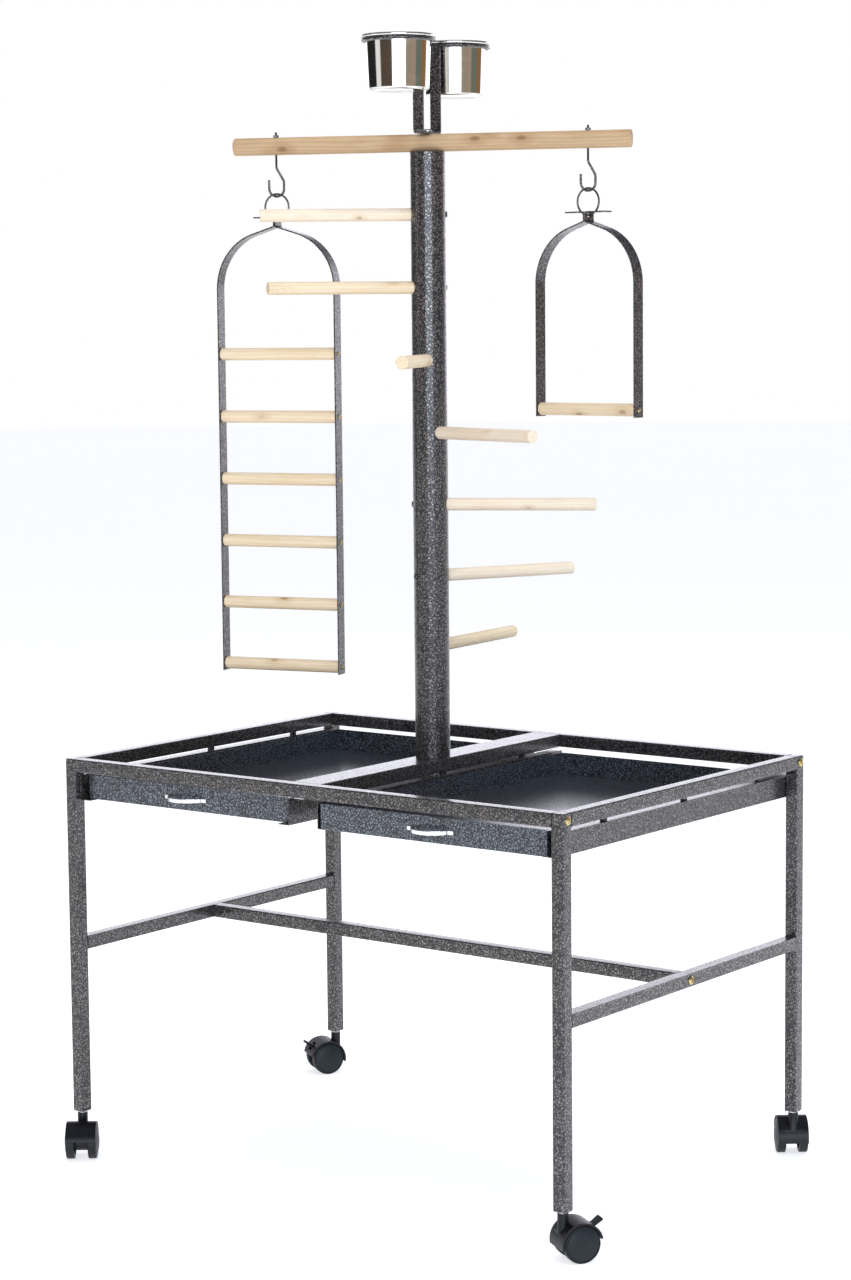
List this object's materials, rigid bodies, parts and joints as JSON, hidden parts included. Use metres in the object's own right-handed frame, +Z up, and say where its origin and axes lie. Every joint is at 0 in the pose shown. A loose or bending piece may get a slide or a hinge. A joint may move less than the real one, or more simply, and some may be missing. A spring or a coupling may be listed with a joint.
{
  "type": "parrot play stand",
  "caption": "Open steel play stand on castors: table frame with two pull-out trays, centre post with spiral perches, cross perch with two cups, a hanging ladder and a swing.",
  "frame": {"origin": "on the floor under the middle of the table, which is the centre of the footprint", "axes": "+X along the table's long side to the right, +Y to the back, +Z up along the post; the trays pull out towards -Y"},
  "size_m": [0.9374, 0.6928, 1.6],
  "materials": {
    "hammer_paint": "silver-black hammered powder coat, semi-gloss",
    "tray_paint": "silver-black hammered powder coat on folded sheet, semi-gloss",
    "pale_wood": "bare pale dowel with fine grain and small knots",
    "tan_wood": "bare golden dowel with darker knots",
    "steel_cup": "polished stainless steel",
    "chrome_pull": "bright chrome",
    "bright_wire": "dull zinc wire",
    "zinc_screw": "yellow zinc",
    "plain_bolt": "zinc plated",
    "castor_plastic": "satin black moulded nylon",
    "castor_steel": "bright zinc"
  },
  "bodies": {
    "stand": {"leg_front_left": "hammer_paint", "leg_front_right": "hammer_paint", "leg_rear_left": "hammer_paint", "leg_rear_right": "hammer_paint", "side_rail_left": "hammer_paint", "side_rail_right": "hammer_paint", "lower_rail_left": "hammer_paint", "lower_rail_right": "hammer_paint", "front_rail": "hammer_paint", "rear_rail": "hammer_paint", "centre_beam": "hammer_paint", "stretcher": "hammer_paint", "tray_runners": "hammer_paint", "frame_bolts": "zinc_screw", "post": "hammer_paint", "post_bolts": "plain_bolt", "spiral_perch_1": "pale_wood", "spiral_perch_2": "pale_wood", "spiral_perch_3": "pale_wood", "spiral_perch_4": "pale_wood", "spiral_perch_5": "pale_wood", "spiral_perch_6": "pale_wood", "spiral_perch_7": "pale_wood", "perch_screws": "zinc_screw", "cross_perch": "tan_wood", "cup_bracket": "hammer_paint", "hook_left": "bright_wire", "hook_right": "bright_wire", "hook_nuts": "bright_wire", "castor_stems": "castor_steel"},
    "castor_front_left": {"castor_hood_front_left": "castor_plastic"},
    "wheels_front_left": {"castor_axle_front_left": "castor_steel", "castor_wheels_front_left": "castor_plastic"},
    "castor_front_right": {"castor_hood_front_right": "castor_plastic"},
    "wheels_front_right": {"castor_axle_front_right": "castor_steel", "castor_wheels_front_right": "castor_plastic"},
    "brake_front_right": {"brake_lever_front_right": "castor_plastic"},
    "castor_rear_left": {"castor_hood_rear_left": "castor_plastic"},
    "wheels_rear_left": {"castor_axle_rear_left": "castor_steel", "castor_wheels_rear_left": "castor_plastic"},
    "brake_rear_left": {"brake_lever_rear_left": "castor_plastic"},
    "castor_rear_right": {"castor_hood_rear_right": "castor_plastic"},
    "wheels_rear_right": {"castor_axle_rear_right": "castor_steel", "castor_wheels_rear_right": "castor_plastic"},
    "tray_left": {"tray_left": "tray_paint", "tray_handle_left": "chrome_pull"},
    "tray_right": {"tray_right": "tray_paint", "tray_handle_right": "chrome_pull"},
    "ladder_ring": {"ladder_ring": "bright_wire"},
    "ladder": {"ladder_strap_left": "hammer_paint", "ladder_strap_right": "hammer_paint", "ladder_rungs": "pale_wood", "ladder_screws": "zinc_screw"},
    "swing_ring": {"swing_ring": "bright_wire"},
    "swing": {"swing_strap_left": "hammer_paint", "swing_strap_right": "hammer_paint", "swing_perch": "pale_wood", "swing_screws": "zinc_screw"},
    "cup_front": {"cup_front": "steel_cup"},
    "cup_rear": {"cup_rear": "steel_cup"}
  },
  "joints": [
    {"name": "castor_swivel_front_left", "type": "hinge", "parent": "stand", "child": "castor_front_left", "pos_m": [-0.4245, -0.2955, 0.057], "axis": [0, 0, 1], "continuous": true},
    {"name": "wheel_roll_front_left", "type": "hinge", "parent": "castor_front_left", "child": "wheels_front_left", "pos_m": [-0.4128, -0.31047, 0.025], "axis": [0.788, 0.6157, 0], "continuous": true},
    {"name": "castor_swivel_front_right", "type": "hinge", "parent": "stand", "child": "castor_front_right", "pos_m": [0.4245, -0.2955, 0.057], "axis": [0, 0, 1], "continuous": true},
    {"name": "wheel_roll_front_right", "type": "hinge", "parent": "castor_front_right", "child": "wheels_front_right", "pos_m": [0.43485, -0.27957, 0.025], "axis": [-0.8387, 0.5446, 0], "continuous": true},
    {"name": "brake_press_front_right", "type": "hinge", "parent": "castor_front_right", "child": "brake_front_right", "pos_m": [0.44618, -0.26211, 0.04374], "axis": [-0.8387, 0.5446, 0], "range_deg": [0, 20]},
    {"name": "castor_swivel_rear_left", "type": "hinge", "parent": "stand", "child": "castor_rear_left", "pos_m": [-0.4245, 0.2955, 0.057], "axis": [0, 0, 1], "continuous": true},
    {"name": "wheel_roll_rear_left", "type": "hinge", "parent": "castor_rear_left", "child": "wheels_rear_left", "pos_m": [-0.43485, 0.27957, 0.025], "axis": [0.8387, -0.5446, 0], "continuous": true},
    {"name": "brake_press_rear_left", "type": "hinge", "parent": "castor_rear_left", "child": "brake_rear_left", "pos_m": [-0.44618, 0.26211, 0.04374], "axis": [0.8387, -0.5446, 0], "range_deg": [0, 20]},
    {"name": "castor_swivel_rear_right", "type": "hinge", "parent": "stand", "child": "castor_rear_right", "pos_m": [0.4245, 0.2955, 0.057], "axis": [0, 0, 1], "continuous": true},
    {"name": "wheel_roll_rear_right", "type": "hinge", "parent": "castor_rear_right", "child": "wheels_rear_right", "pos_m": [0.4128, 0.31047, 0.025], "axis": [-0.788, -0.6157, 0], "continuous": true},
    {"name": "tray_slide_left", "type": "slide", "parent": "stand", "child": "tray_left", "axis": [0, -1, 0], "range_m": [0, 0.45]},
    {"name": "tray_slide_right", "type": "slide", "parent": "stand", "child": "tray_right", "axis": [0, -1, 0], "range_m": [-0.014, 0.436]},
    {"name": "ladder_ring_swing", "type": "hinge", "parent": "stand", "child": "ladder_ring", "pos_m": [-0.20144, -0.08969, 1.386], "axis": [0.5736, 0.8192, 0], "range_deg": [-8, 20]},
    {"name": "ladder_swing", "type": "hinge", "parent": "ladder_ring", "child": "ladder", "pos_m": [-0.20144, -0.08969, 1.35255], "axis": [0.9703, 0.2419, 0], "range_deg": [-8, 15]},
    {"name": "swing_ring_swing", "type": "hinge", "parent": "stand", "child": "swing_ring", "pos_m": [0.20875, 0.09294, 1.386], "axis": [0.5736, 0.8192, 0], "range_deg": [-30, 30]},
    {"name": "swing_swing", "type": "hinge", "parent": "swing_ring", "child": "swing", "pos_m": [0.20875, 0.09294, 1.35255], "axis": [0.9986, -0.0523, 0], "range_deg": [-20, 20]},
    {"name": "cup_lift_front", "type": "slide", "parent": "stand", "child": "cup_front", "axis": [0, 0, 1], "range_m": [0, 0.1]},
    {"name": "cup_lift_rear", "type": "slide", "parent": "stand", "child": "cup_rear", "axis": [0, 0, 1], "range_m": [0, 0.1]}
  ]
}
